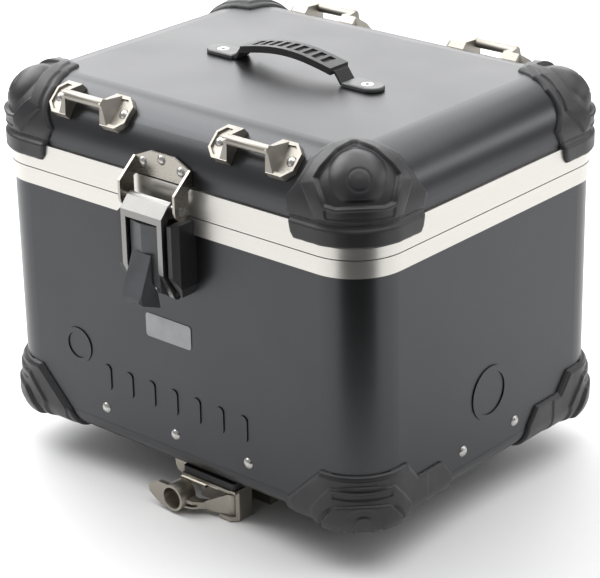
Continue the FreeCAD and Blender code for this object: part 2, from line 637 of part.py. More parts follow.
bracket_plate = prism_y(PLATE_OUT, PLATE_IN, [(-EAR_OUT, LEDGE + 1.0), (EAR_OUT, LEDGE + 1.0),
                        (EAR_OUT, 273.0), (13.0, 281.0), (-13.0, 281.0), (-EAR_OUT, 273.0)])
ear_profile = [(PLATE_IN, LEDGE + 1.0), (PLATE_IN, 273.0), (PLATE_OUT, 274.0),
               (KEEP_Y - 8.0, LEDGE - 1.0), (KEEP_Y - 8.0, KEEP_Z), (KEEP_Y + 8.0, KEEP_Z),
               (KEEP_Y + 8.0, LEDGE - 1.2)]
bracket_parts = [bracket_plate]
for way in (-1.0, 1.0):
    x0 = min(way * EAR_IN, way * EAR_OUT)
    x1 = max(way * EAR_IN, way * EAR_OUT)
    bracket_parts.append(prism_x(x0, x1, ear_profile))
    bracket_parts.append(rod_x(x0, x1, KEEP_Y, KEEP_Z, 8.0))
bracket = joined(bracket_parts)
bracket = bracket.cut(rod_x(-40.0, 40.0, KEEP_Y, KEEP_Z, KEEP_R + 0.05))
for place in bracket_rivet_places:
    bracket = bracket.cut(hole(place, V(0, -1, 0), BRACKET_RIVET_R, 4.0))
save("latch_bracket", bracket)
rivets = []
for place in bracket_rivet_places:
    seat = V(place.x, PLATE_OUT - 0.05, place.z)
    drop = place.z - BEND_Z
    inset = CORNER_RADIUS - math.sqrt(CORNER_RADIUS ** 2 - (max(drop, 0.0) + 3.6) ** 2)
    grip = 2.0 + FIT + SHEET + 0.2 + inset
    rivets.append(rivet(seat, V(0, -1, 0), grip, BRACKET_RIVET_R, 4.3, 2.4))
save("latch_bracket_rivets", Part.makeCompound(rivets))
keeper = joined([rod_x(-EAR_OUT - 0.8, EAR_OUT + 0.8, KEEP_Y, KEEP_Z, KEEP_R),
                 rod_x(EAR_OUT + 0.1, EAR_OUT + 1.0, KEEP_Y, KEEP_Z, KEEP_R + 1.2),
                 rod_x(-EAR_OUT - 1.0, -EAR_OUT - 0.1, KEEP_Y, KEEP_Z, KEEP_R + 1.2)])
save("latch_bracket_pin", keeper)

# ---- latch housing on the wall: moulded channel carrying the lever pin ------------------------
HOUSE_HALF = 33.0
CHANNEL_HALF = 25.5
HOUSE_TOP = 232.5
HOUSE_LOW = 167.0
PIVOT_Y = FRONT - 15.5
PIVOT_Z = 224.0
PIVOT_R = 2.5
LINK_Y = FRONT - 12.5
LINK_Z = 170.0
LINK_R = 2.5
house_profile = [(-HOUSE_HALF, FRONT - FIT), (-HOUSE_HALF, FRONT - 19.0), (-30.0, FRONT - 25.5),
                 (-CHANNEL_HALF, FRONT - 25.5), (-CHANNEL_HALF, FRONT - 6.0),
                 (CHANNEL_HALF, FRONT - 6.0), (CHANNEL_HALF, FRONT - 25.5), (30.0, FRONT - 25.5),
                 (HOUSE_HALF, FRONT - 19.0), (HOUSE_HALF, FRONT - FIT)]
house = prism_z(HOUSE_LOW, HOUSE_TOP, house_profile)
house = house.cut(box(-40, 40, FRONT - RIM_PROUD - FIT, FRONT + 5, BASE_RIM_LOW - 0.5, 260))
house = house.cut(prism_x(-40, 40, [(FRONT - 26.0, HOUSE_LOW + 22.0), (FRONT - 30, HOUSE_LOW + 22.0),
                                    (FRONT - 30.0, HOUSE_LOW - 5.0), (FRONT - 12.0, HOUSE_LOW - 5.0),
                                    (FRONT - 12.0, HOUSE_LOW)]))
for way in (-1.0, 1.0):
    house = house.cut(prism_y(FRONT - 40.0, FRONT + 5.0, [(way * 34.0, HOUSE_LOW + 12.0),
                              (way * 34.0, HOUSE_LOW - 1.0), (way * 26.0, HOUSE_LOW - 1.0)]))
house = house.cut(rod_x(-30.5, 30.5, PIVOT_Y, PIVOT_Z, PIVOT_R + 0.05))
for place in latch_screw_places:
    house = house.cut(rod_y(place.y - 5.2, place.y + 1.0, place.x, place.z, LATCH_SCREW_R + BORE_FIT))
save("latch_housing", house)
save("lever_pin", rod_x(-30.3, 30.3, PIVOT_Y, PIVOT_Z, PIVOT_R))
inner_face = FRONT + SHEET + FIT
plate = box(-29.0, 29.0, inner_face, inner_face + 2.0, 171.0, 217.0)
for place in latch_screw_places:
    plate = plate.cut(rod_y(inner_face - 1.0, inner_face + 4.0, place.x, place.z,
                            LATCH_SCREW_R + BORE_FIT))
save("latch_backing_plate", plate)
screws = []
for place in latch_screw_places:
    seat = V(place.x, inner_face + 2.05, place.z)
    shank = Part.makeCylinder(LATCH_SCREW_R, 8.5, seat + V(0, 0.1, 0), V(0, -1, 0))
    screws.append(joined([dome(4.4, 2.6, seat, V(0, 1, 0)), shank]))
save("latch_screws", Part.makeCompound(screws))

# ---- latch lever: ridged panel, lock hood and the pin that carries the bail -------------------
PANEL_HALF = 15.5
PANEL_FRONT = FRONT - 29.0
PANEL_BACK = FRONT - 23.5
PANEL_TOP = 229.5
panel = prism_z(160.0, PANEL_TOP, [(-PANEL_HALF, PANEL_BACK), (-PANEL_HALF, PANEL_FRONT + 3.6),
                (0.0, PANEL_FRONT), (PANEL_HALF, PANEL_FRONT + 3.6), (PANEL_HALF, PANEL_BACK)])
panel = panel.cut(prism_x(-30, 30, [(FRONT - 40.0, 182.0), (PANEL_BACK, 176.0), (PANEL_BACK + 1, 150.0),
                                    (FRONT - 40.0, 150.0)]))
lever_parts = [panel]
for way in (-1.0, 1.0):
    x0 = min(way * 10.5, way * 15.0)
    x1 = max(way * 10.5, way * 15.0)
    lever_parts.append(prism_x(x0, x1, [(PANEL_BACK - 1.0, 229.0), (PIVOT_Y, PIVOT_Z + 5.0),
                       (PIVOT_Y, PIVOT_Z - 5.0), (PANEL_BACK, 206.0), (LINK_Y, LINK_Z + 5.0),
                       (LINK_Y, LINK_Z - 5.0), (PANEL_BACK - 1.0, 172.0)]))
    lever_parts.append(rod_x(x0, x1, PIVOT_Y, PIVOT_Z, 5.0))
    lever_parts.append(rod_x(x0, x1, LINK_Y, LINK_Z, 5.0))
lever = joined(lever_parts)
lever = lever.cut(rod_x(-20, 20, PIVOT_Y, PIVOT_Z, PIVOT_R + 0.05))
lever = lever.cut(rod_x(-20, 20, LINK_Y, LINK_Z, LINK_R + 0.05))
# hood: wedge standing off the panel, its sloping underside carries the lock
hood_section = [(PANEL_FRONT - FIT, 205.0), (FRONT - 43.5, 170.5), (FRONT - 44.1, 167.6),
                (FRONT - 41.0, 165.0), (FRONT - 21.0, 157.0), (PANEL_BACK, 172.0),
                (PANEL_FRONT - FIT, 181.5)]
hood = prism_x(-10.5, 10.5, hood_section)
hood = hood.cut(prism_z(150, 210, [(12.0, FRONT - 50.0), (4.0, FRONT - 50.0), (12.0, FRONT - 40.0)]))
hood = hood.cut(prism_z(150, 210, [(-12.0, FRONT - 50.0), (-4.0, FRONT - 50.0), (-12.0, FRONT - 40.0)]))
hood = hood.cut(lever)
lever = lever.cut(box(-12.0, 12.0, FRONT - 60, PANEL_BACK + 0.5, 150.0, 174.0))
hood_grow = prism_x(-11.8, 11.8, [(FRONT - 60.0, 181.7), (PANEL_BACK - 0.0, 172.3),
                                  (PANEL_BACK + 5.0, 150.0), (FRONT - 60.0, 150.0)])
lever = lever.cut(hood_grow)
save("lever_panel", lever)
LOCK_R = 6.5
lock_dir = V(0, -0.371, -0.929)
lock_face = V(0, FRONT - 31.5, 161.2)
lock_hole = Part.makeCylinder(LOCK_R + 0.1, 17.0, lock_face - lock_dir * 16.0, lock_dir)
lock_hole_out = Part.makeCylinder(LOCK_R + 0.1, 6.0, lock_face, lock_dir)
hood = hood.cut(lock_hole).cut(lock_hole_out)
save("lock_hood", hood)
barrel = Part.makeCylinder(LOCK_R, 15.6, lock_face - lock_dir * 15.6, lock_dir)
slot = box(-0.9, 0.9, -2.8, 2.8, -4.0, 3.0)
slot.rotate(V(0, 0, 0), V(1, 0, 0), math.degrees(math.atan2(0.371, 0.929)) * -1.0)
slot.translate(lock_face)
save("lock_barrel", barrel.cut(slot))
save("bail_pin", rod_x(-22.4, 22.4, LINK_Y, LINK_Z, LINK_R))

# ---- bail: cast frame, hooked over the keeper pin, legs down to the lever ---------------------
BAIL_HALF = 22.6
LEG_IN = 17.5
BAIL_FRONT = FRONT - 28.5
BAIL_BACK = FRONT - 22.0
head = prism_x(-BAIL_HALF, BAIL_HALF, [(KEEP_Y, KEEP_Z + 7.0), (KEEP_Y - 6.5, KEEP_Z + 4.5),
               (BAIL_FRONT, 238.0), (BAIL_FRONT, 232.0), (BAIL_BACK, 232.0),
               (BAIL_BACK + 1.5, 235.8), (KEEP_Y, 236.0)])
head = joined([head, rod_x(-BAIL_HALF, BAIL_HALF, KEEP_Y, KEEP_Z, 7.0)])
bail_parts = [head]
for way in (-1.0, 1.0):
    x0 = min(way * LEG_IN, way * BAIL_HALF)
    x1 = max(way * LEG_IN, way * BAIL_HALF)
    bail_parts.append(prism_x(x0, x1, [(BAIL_FRONT, 236.0), (BAIL_FRONT, 190.0), (LINK_Y - 4.6, 167.4),
                      (LINK_Y + 4.4, 172.8), (BAIL_BACK, 194.0), (BAIL_BACK, 236.0)]))
    bail_parts.append(rod_x(x0, x1, LINK_Y, LINK_Z, 5.2))
bail = joined(bail_parts)
bail = bail.cut(rod_x(-30, 30, KEEP_Y, KEEP_Z, KEEP_R + 0.2))
bail = bail.cut(box(-30, 30, KEEP_Y, KEEP_Y + 10.0, KEEP_Z - KEEP_R - 0.2, KEEP_Z + KEEP_R + 0.2))
# the hook stops in front of the pin and is open above it, so the lid can rise past it
bail = bail.cut(box(-30, 30, KEEP_Y - KEEP_R - 0.2, KEEP_Y + 10.0, KEEP_Z, KEEP_Z + 12.0))
bail = bail.cut(rod_x(-30, 30, LINK_Y, LINK_Z, LINK_R + 0.05))
save("bail", bail)

# ---- rear hinge: two leaves with alternating knuckles on one pin ------------------------------
PIN_Y = BACK + 9.0
PIN_Z = SEAM_HEIGHT + 0.5
PIN_R = HINGE_PIN_DIAMETER / 2.0
KNUCKLE_R = 5.0
body_profile = [(BACK + FIT, PIN_Z - 39.0), (BACK + FIT + 3.0, PIN_Z - 39.0), (BACK + FIT + 4.0, PIN_Z - 9.0),
                (PIN_Y + 1.0, PIN_Z - 4.8), (PIN_Y - 2.0, PIN_Z), (BACK + RIM_PROUD + FIT, PIN_Z - 1.6),
                (BACK + RIM_PROUD + FIT, BASE_RIM_LOW - 0.5), (BACK + FIT, BASE_RIM_LOW - 0.5)]
lid_profile = [(BACK + FIT, PIN_Z + 40.0), (BACK + FIT + 3.0, PIN_Z + 40.0), (BACK + FIT + 4.0, PIN_Z + 11.0),
               (PIN_Y + 1.0, PIN_Z + 4.8), (PIN_Y - 2.0, PIN_Z), (BACK + RIM_PROUD + FIT, PIN_Z + 1.6),
               (BACK + RIM_PROUD + FIT, LID_RIM_TOP + FIT), (BACK + FIT, LID_RIM_TOP + FIT)]
half_len = HINGE_LENGTH / 2.0
segment = HINGE_LENGTH / 5.0
body_leaf_parts = [prism_x(-half_len, half_len, body_profile)]
lid_leaf_parts = [prism_x(-half_len, half_len, lid_profile)]
body_cut = []
lid_cut = []
for index in range(5):
    x0 = -half_len + segment * index
    x1 = x0 + segment
    if index % 2 == 0:
        body_leaf_parts.append(rod_x(x0 + 0.15, x1 - 0.15, PIN_Y, PIN_Z, KNUCKLE_R))
        lid_cut.append(rod_x(x0 - 0.15, x1 + 0.15, PIN_Y, PIN_Z, KNUCKLE_R + 0.4))
    else:
        lid_leaf_parts.append(rod_x(x0 + 0.15, x1 - 0.15, PIN_Y, PIN_Z, KNUCKLE_R))
        body_cut.append(rod_x(x0 - 0.15, x1 + 0.15, PIN_Y, PIN_Z, KNUCKLE_R + 0.4))
bore = rod_x(-half_len - 5, half_len + 5, PIN_Y, PIN_Z, PIN_R + 0.05)
body_leaf = without(joined(body_leaf_parts), body_cut + [bore])
lid_leaf = without(joined(lid_leaf_parts), lid_cut + [bore])
body_leaf_rivets = []
lid_leaf_rivets = []
for x in hinge_rivet_x:
    low_seat = V(x, BACK + FIT + 3.5, BODY_LEAF_RIVET_Z)
    high_seat = V(x, BACK + FIT + 3.4, LID_LEAF_RIVET_Z)
    body_leaf = body_leaf.cut(hole(low_seat, V(0, 1, 0), HINGE_RIVET_R, 8.0))
    lid_leaf = lid_leaf.cut(hole(high_seat, V(0, 1, 0), HINGE_RIVET_R, 8.0))
    body_leaf_rivets.append(rivet(low_seat, V(0, 1, 0), 3.5 + FIT + SHEET + 0.1, HINGE_RIVET_R, 4.6, 2.2))
    lid_leaf_rivets.append(rivet(high_seat, V(0, 1, 0), 3.4 + FIT + SHEET + 0.5, HINGE_RIVET_R, 4.6, 2.2))
save("body_hinge_leaf", body_leaf)
save("lid_hinge_leaf", lid_leaf)
save("body_hinge_rivets", Part.makeCompound(body_leaf_rivets))
save("lid_hinge_rivets", Part.makeCompound(lid_leaf_rivets))
save("hinge_pin", rod_x(-half_len - 1.0, half_len + 1.0, PIN_Y, PIN_Z, PIN_R))

# ---- rack clamp under the front edge: pad, cast body, sliding jaw and swinging lock lever ------
TUBE_Z = -RACK_TUBE_DROP
PAD_LOW = -6.0
TRAP_LOW = -CASE_LIFT
TRAP_LEFT = 0.0
TRAP_RIGHT = 60.0
TRAP_FRONT = -156.0
GROOVE_R = TUBE_R + 0.25
pad_plate = box(TRAP_LEFT, TRAP_RIGHT - 2.0, TRAP_FRONT + 1.0, -97.0, PAD_LOW, -FIT)
pad_plate = pad_plate.makeChamfer(1.5, upright_edges(pad_plate))
for place in trap_bolt_places:
    pad_plate = pad_plate.cut(rod_z(PAD_LOW - 1, 1.0, place.x, place.y, TRAP_BOLT_R + BORE_FIT))
save("trap_pad", pad_plate)

web_top = PAD_LOW - FIT
PLATE = 2.6
trap = box(TRAP_LEFT, TRAP_RIGHT, TRAP_FRONT, -97.0, web_top - PLATE, web_top)
lip = prism_x(TRAP_LEFT, TRAP_RIGHT - 18.0, [(TRAP_FRONT + 2.0, web_top), (TRAP_FRONT - 1.0, web_top),
                                             (TRAP_FRONT - 1.0, web_top - 2.4),
                                             (TRAP_FRONT - 2.2, web_top - 3.2),
                                             (TRAP_FRONT - 2.2, web_top - 6.0),
                                             (TRAP_FRONT + 2.0, web_top - 6.0)])
tongue = prism_y(-150.0, -145.0, [(TRAP_LEFT - 14.0, -FIT), (TRAP_LEFT - FIT, -FIT),
                                  (TRAP_LEFT - FIT, web_top), (TRAP_LEFT + 1.0, web_top),
                                  (TRAP_LEFT + 1.0, -12.0), (TRAP_LEFT - 6.0, -12.0),
                                  (TRAP_LEFT - 10.5, -10.2), (TRAP_LEFT - 13.2, -6.6)])
rear_wall = box(TRAP_LEFT, TRAP_RIGHT, TUBE_FRONT_Y, -97.0, TRAP_LOW, web_top)
tube_space = joined([rod_x(-50, 70, TUBE_FRONT_Y, TUBE_Z, GROOVE_R),
                     box(-50, 70, TUBE_FRONT_Y - 1.0, TUBE_FRONT_Y + GROOVE_R, TRAP_LOW - 1, TUBE_Z)])
rear_wall = rear_wall.cut(tube_space)
bolt_boss = rod_z(web_top - 8.0, web_top, trap_bolt_places[2].x, trap_bolt_places[2].y, 6.5)
TRAP_PIVOT_X = TRAP_RIGHT - 10.0
TRAP_PIVOT_Y = TRAP_FRONT + 8.0
BLOCK_FRONT = TRAP_PIVOT_Y - 9.0
pivot_block = prism_z(TRAP_LOW + 1.0, web_top, [(TRAP_RIGHT - 18.0, BLOCK_FRONT), (TRAP_RIGHT - 6.0, BLOCK_FRONT),
                                                (TRAP_RIGHT, BLOCK_FRONT + 6.0), (TRAP_RIGHT, -135.5),
                                                (TRAP_RIGHT - 18.0, -135.5)])
trap = joined([trap, lip, tongue, rear_wall, bolt_boss, pivot_block])
LEVER_LOW = TRAP_LOW + 5.0
LEVER_TOP = web_top - PLATE - FIT
slot_box = prism_z(LEVER_LOW - FIT, web_top - PLATE, [(28.0, -165.0), (TRAP_RIGHT - 2.4, -165.0),
                   (TRAP_RIGHT - 2.4, -139.0), (28.0, -139.0)])
trap = trap.cut(slot_box)
trap = trap.cut(rod_z(-40.0, -1.0, TRAP_PIVOT_X, TRAP_PIVOT_Y, 2.5 + BORE_FIT))
trap = trap.cut(rod_x(-50, 70, TUBE_FRONT_Y, TUBE_Z, GROOVE_R))
for place in trap_bolt_places:
    trap = trap.cut(rod_z(-19.2, -5.0, place.x, place.y, TRAP_BOLT_R + BORE_FIT))
save("trap_base", trap)
save("trap_pivot_pin", rod_z(TRAP_LOW + 1.2, web_top - 0.1, TRAP_PIVOT_X, TRAP_PIVOT_Y, 2.5))

jaw = box(3.0, 38.0, TUBE_FRONT_Y - 16.0, TUBE_FRONT_Y - 1.0, TRAP_LOW, web_top - PLATE - FIT)
lip = box(3.0, 38.0, TUBE_FRONT_Y - 12.0, TUBE_FRONT_Y - 0.5, TRAP_LOW, TUBE_Z)
jaw = joined([jaw, lip]).cut(rod_x(-50, 70, TUBE_FRONT_Y, TUBE_Z, GROOVE_R))
jaw = jaw.cut(box(trap_bolt_places[2].x - 7.5, trap_bolt_places[2].x + 7.5, TUBE_FRONT_Y - 30.0,
                  TUBE_FRONT_Y - 4.0, -21.0, -5.0))
save("trap_jaw", jaw)

RING_X = 5.6
RING_Z = -21.6
RING_FRONT = TRAP_FRONT - 20.0
RING_BACK = TRAP_FRONT - 2.8
RING_R = LOCK_BORE_DIAMETER / 2.0 + 2.2
LEVER_EYE_R = 6.5
arm_plan = prism_z(LEVER_LOW, LEVER_TOP, [(TRAP_PIVOT_X, TRAP_PIVOT_Y - LEVER_EYE_R), (30.0, BLOCK_FRONT - 3.0),
                   (22.0, RING_FRONT + 7.0), (8.0, RING_FRONT + 4.0), (2.0, RING_FRONT + 4.0),
                   (2.0, RING_BACK - 3.0), (22.0, RING_BACK - 1.0), (30.0, BLOCK_FRONT + 4.0),
                   (TRAP_PIVOT_X, TRAP_PIVOT_Y + LEVER_EYE_R)])
arm_front = prism_y(RING_FRONT - 5.0, TRAP_PIVOT_Y + 20.0, [(2.0, RING_Z + 4.0), (28.0, RING_Z - 2.4),
                    (50.0, LEVER_TOP - 3.0), (60.0, LEVER_TOP - 3.0), (60.0, LEVER_LOW),
                    (38.0, LEVER_LOW), (26.0, LEVER_LOW + 1.4), (2.0, LEVER_LOW + 1.4)])
eye_disc = rod_z(LEVER_LOW, LEVER_TOP, TRAP_PIVOT_X, TRAP_PIVOT_Y, LEVER_EYE_R)
arm = joined([arm_plan, eye_disc]).common(arm_front)
pocket = box(RING_X + 3.0, 27.0, RING_FRONT, RING_FRONT + 10.5, LEVER_LOW + 3.2, RING_Z - 3.6)
barrel_body = rod_y(RING_FRONT, RING_BACK, RING_X, RING_Z, RING_R)
tab = prism_y(RING_FRONT + 0.8, RING_FRONT + 5.0, [(RING_X, RING_Z + RING_R - 0.8),
              (-10.5, RING_Z + RING_R - 1.2), (-22.0, RING_Z + 4.4), (-20.8, RING_Z - 2.4),
              (-9.0, RING_Z - RING_R + 1.6), (RING_X, RING_Z - RING_R + 0.8)])
lock_bore = rod_y(RING_FRONT - 3.0, RING_BACK - 2.2, RING_X, RING_Z, LOCK_BORE_DIAMETER / 2.0)
arm = arm.cut(rod_z(-40.0, -1.0, TRAP_PIVOT_X, TRAP_PIVOT_Y, 2.5 + 0.05)).cut(pocket)
ring_end = joined([barrel_body, tab]).cut(lock_bore)
trap_lever = joined([arm.cut(lock_bore), ring_end])
save("trap_lever", trap_lever)

floor_top = FLOOR_SHEET + FIT
doubler = box(TRAP_LEFT - 8.0, TRAP_RIGHT + 6.0, -140.0, -92.0, floor_top, floor_top + 2.0)
doubler = doubler.fuse(box(TRAP_LEFT - 4.0, 28.0, -146.5, -139.0, floor_top, floor_top + 2.0)).removeSplitter()
for place in trap_bolt_places:
    doubler = doubler.cut(rod_z(floor_top - 1, floor_top + 4, place.x, place.y, TRAP_BOLT_R + BORE_FIT))
save("floor_doubler", doubler)
bolts = []
for place in trap_bolt_places:
    seat = floor_top + 2.05
    shank = rod_z(-19.0, seat + 0.1, place.x, place.y, TRAP_BOLT_R)
    bolts.append(joined([dome(5.2, 3.0, V(place.x, place.y, seat), V(0, 0, 1)), shank]))
save("trap_bolts", Part.makeCompound(bolts))

# ---- rear hooks: open forward, slide over the rear rack tube -----------------------------------
HOOK_HALF = 20.0
hook_profile = [(TUBE_BACK_Y - 22.0, -FIT), (TUBE_BACK_Y + 26.0, -FIT), (TUBE_BACK_Y + 26.0, -8.0),
                (TUBE_BACK_Y + 14.0, TRAP_LOW), (TUBE_BACK_Y - 14.0, TRAP_LOW),
                (TUBE_BACK_Y - 14.0, TUBE_Z - TUBE_R), (TUBE_BACK_Y - 22.0, -10.5)]
hook = prism_x(-HOOK_HALF, HOOK_HALF, hook_profile)
hook = hook.cut(rod_x(-50, 50, TUBE_BACK_Y, TUBE_Z, GROOVE_R))
hook = hook.cut(box(-50, 50, TUBE_BACK_Y - 40.0, TUBE_BACK_Y, TUBE_Z - GROOVE_R, TUBE_Z + GROOVE_R))
hook = hook.cut(prism_x(-50, 50, [(TUBE_BACK_Y - 23.0, -10.5), (TUBE_BACK_Y - 10.0, TUBE_Z),
                                  (TUBE_BACK_Y - 16.0, TUBE_Z - 12.0), (TUBE_BACK_Y - 23.0, -40.0)]))
for dy in (-2.0, 18.0):
    hook = hook.cut(rod_z(-12.0, 1.0, 0.0, TUBE_BACK_Y + dy, HOOK_BOLT_R + BORE_FIT))
save("rack_hook_left", moved(hook, -HOOK_SPACING / 2.0, 0, 0))
save("rack_hook_right", moved(hook, HOOK_SPACING / 2.0, 0, 0))
bolts = []
for place in hook_bolt_places:
    seat = FLOOR_SHEET + 0.05
    shank = rod_z(-11.5, seat + 0.1, place.x, place.y, HOOK_BOLT_R)
    bolts.append(joined([dome(5.2, 3.0, V(place.x, place.y, seat), V(0, 0, 1)), shank]))
save("rack_hook_bolts", Part.makeCompound(bolts))

# ---- plain badge stuck on the front ------------------------------------------------------------
badge = box(-28.0, 23.0, FRONT - 0.1 - 0.6, FRONT - 0.1, 115.0, 136.0)
badge = badge.makeFillet(3.0, [e for e in badge.Edges if abs(e.BoundBox.YLength - 0.6) < 0.01])
save("front_badge", badge)
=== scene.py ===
import math
import bpy
from mathutils import Matrix, Vector


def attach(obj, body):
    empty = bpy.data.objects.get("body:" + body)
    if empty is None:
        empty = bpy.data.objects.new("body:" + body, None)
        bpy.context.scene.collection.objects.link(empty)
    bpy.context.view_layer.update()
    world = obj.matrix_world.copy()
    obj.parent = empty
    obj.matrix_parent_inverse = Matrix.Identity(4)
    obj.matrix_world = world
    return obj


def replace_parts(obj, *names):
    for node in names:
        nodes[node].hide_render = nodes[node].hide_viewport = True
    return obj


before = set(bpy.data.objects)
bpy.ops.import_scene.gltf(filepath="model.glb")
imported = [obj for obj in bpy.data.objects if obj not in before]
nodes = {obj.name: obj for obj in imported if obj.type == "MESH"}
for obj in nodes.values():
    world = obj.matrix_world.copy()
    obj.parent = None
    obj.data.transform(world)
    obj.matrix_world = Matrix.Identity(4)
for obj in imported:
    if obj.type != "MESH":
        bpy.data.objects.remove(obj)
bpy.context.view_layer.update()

MM = 0.001

# ---- Case walls, base pan and lid ----------------------------------------------------------
# Folded and drawn aluminium, 1.5 mm in the walls and 2 mm in the floor, powder coated in a satin
# anthracite with a fine grain. The pan is riveted to the walls and the lid is one deep drawing.
COAT_COLOUR = (0.066, 0.067, 0.070)
COAT_METALLIC = 0.96
COAT_ROUGHNESS = 0.33
NOISE_LOW = 0.3
NOISE_HIGH = 0.7
EDGE_ANGLE = math.radians(32.0)
WELD_GAP = 0.00001


class Finish:
    """One material and a short way to add and join its nodes."""

    def __init__(self, name, colour, metallic, roughness):
        self.material = bpy.data.materials.new(name)
        self.material.use_nodes = True
        self.tree = self.material.node_tree
        self.shader = self.tree.nodes["Principled BSDF"]
        self.shader.inputs["Base Color"].default_value = (*colour, 1.0)
        self.shader.inputs["Metallic"].default_value = metallic
        self.shader.inputs["Roughness"].default_value = roughness
        self.place = None

    def node(self, kind):
        return self.tree.nodes.new(kind)

    def join(self, source, target):
        self.tree.links.new(source, target)

    def where(self, stretch=(1.0, 1.0, 1.0)):
        """Object coordinates in metres, stretched for brushed or moulded grain."""
        if self.place is None:
            self.place = self.node("ShaderNodeTexCoord")
        mapping = self.node("ShaderNodeMapping")
        mapping.inputs["Scale"].default_value = stretch
        self.join(self.place.outputs["Object"], mapping.inputs["Vector"])
        return mapping.outputs["Vector"]

    def noise(self, scale, detail, stretch=(1.0, 1.0, 1.0)):
        made = self.node("ShaderNodeTexNoise")
        made.inputs["Scale"].default_value = scale
        made.inputs["Detail"].default_value = detail
        self.join(self.where(stretch), made.inputs["Vector"])
        return made.outputs["Fac"]

    def spread(self, value, low, high):
        made = self.node("ShaderNodeMapRange")
        made.inputs["From Min"].default_value = NOISE_LOW
        made.inputs["From Max"].default_value = NOISE_HIGH
        made.inputs["To Min"].default_value = low
        made.inputs["To Max"].default_value = high
        self.join(value, made.inputs["Value"])
        return made.outputs["Result"]

    def blend(self, first, second, share):
        made = self.node("ShaderNodeMix")
        made.inputs[0].default_value = share
        self.join(first, made.inputs[2])
        self.join(second, made.inputs[3])
        return made.outputs[0]

    def two_tone(self, value, dark, light):
        made = self.node("ShaderNodeValToRGB")
        first, last = made.color_ramp.elements
        first.position = NOISE_LOW
        last.position = NOISE_HIGH
        first.color = (*dark, 1.0)
        last.color = (*light, 1.0)
        self.join(value, made.inputs["Fac"])
        self.join(made.outputs["Color"], self.shader.inputs["Base Color"])

    def vary_roughness(self, value, low, high):
        self.join(self.spread(value, low, high), self.shader.inputs["Roughness"])

    def bump(self, height, strength, distance):
        made = self.node("ShaderNodeBump")
        made.inputs["Strength"].default_value = strength
        made.inputs["Distance"].default_value = distance
        self.join(height, made.inputs["Height"])
        self.join(made.outputs["Normal"], self.shader.inputs["Normal"])


def tone(colour, factor):
    return tuple(part * factor for part in colour)


def paint(names, finish):
    for name in names:
        node = nodes[name]
        node.data.materials.clear()
        node.data.materials.append(finish.material)


def soften(names, width, steps=2):
    # small rounds on the folded, cast or moulded edges
    for name in names:
        weld = nodes[name].modifiers.new("weld", "WELD")
        weld.merge_threshold = WELD_GAP
        round_edges = nodes[name].modifiers.new("round_edges", "BEVEL")
        round_edges.width = width * MM
        round_edges.segments = steps
        round_edges.limit_method = "ANGLE"
        round_edges.angle_limit = EDGE_ANGLE
        round_edges.harden_normals = True


def powder_coat(name, colour):
    coat = Finish(name, colour, COAT_METALLIC, COAT_ROUGHNESS)
    cloud = coat.noise(14.0, 3.0)
    fleck = coat.noise(1500.0, 2.0)
    coat.two_tone(coat.blend(cloud, fleck, 0.45), tone(colour, 0.9), tone(colour, 1.1))
    grain = coat.noise(2600.0, 2.0)
    coat.vary_roughness(cloud, COAT_ROUGHNESS - 0.03, COAT_ROUGHNESS + 0.03)
    coat.bump(grain, 0.14, 0.00012)
    return coat


wall_coat = powder_coat("powder_coat_body", COAT_COLOUR)
# The lid gets the body's same coat painted 5% lighter, as painted light for its brightly lit top.
lid_coat_painted_lighter = powder_coat("powder_coat_lid_painted_lighter", tone(COAT_COLOUR, 1.05))
paint(["wall_shell", "base_pan"], wall_coat)
paint(["lid_shell"], lid_coat_painted_lighter)

# ---- Rims ----------------------------------------------------------------------------------
# Two extruded aluminium channels, satin anodised, crimped over the edges of the body and lid.
# They meet at the seam.
RIM_COLOUR = (0.64, 0.62, 0.585)
rim_metal = Finish("anodised_rim", RIM_COLOUR, 1.0, 0.33)
rim_streak = rim_metal.noise(45.0, 5.0, (1.0, 1.0, 60.0))
rim_metal.two_tone(rim_streak, tone(RIM_COLOUR, 0.95), tone(RIM_COLOUR, 1.03))
rim_metal.vary_roughness(rim_streak, 0.29, 0.38)
rim_metal.bump(rim_streak, 0.05, 0.00006)
paint(["base_rim", "lid_rim"], rim_metal)

# ---- Corner guards ---------------------------------------------------------------------------
# Eight injection-moulded corner guards in fine-grained black polyamide, screwed on from inside.
# Each is a skin over the case's corner with raised steps; the lid's also skirt over the rim. The
# steps are worked out for the front right corner and turned over for the other three.
CASE_WIDTH = 410.0
CASE_DEPTH = 325.0
CASE_HEIGHT = 310.0
CORNER_R = 43.0
PAN_BEND_R = 17.5
CASE_BACK = 15.0
CASE_LIFT = 36.0
HALF_W = CASE_WIDTH / 2.0
HALF_D = CASE_DEPTH / 2.0
LID_BEND_Z = CASE_HEIGHT - CORNER_R
AXIS_X = HALF_W - CORNER_R
AXIS_Y = CORNER_R - HALF_D
DIAGONAL = math.sqrt(0.5)
TILT = math.radians(25.0)
SKIN = 3.3
# past its outline the skin ends this far under the sheet, or this far over it behind the rim
SUNK = 1.0
# the step at the outline rises from this far outside it to this far inside
EDGE_OUT = -0.6
EDGE_IN = 0.5
LID_HIGHEST = 8.7
BASE_HIGHEST = 8.8
SKIRT_LOW_Z = 245.0
RIM_TOP_Z = 258.5   # above this the skin lies on the lid, below it on the rim
NET_PITCH = 0.0058
FIRST_REACH = 60.0
MOST_TRIES = 14
CLOSE_ENOUGH = 0.004


def both_sides(half):
    # an outline that is the same left and right, from one side of it
    return half + [(-a, b) for a, b in reversed(half) if a]


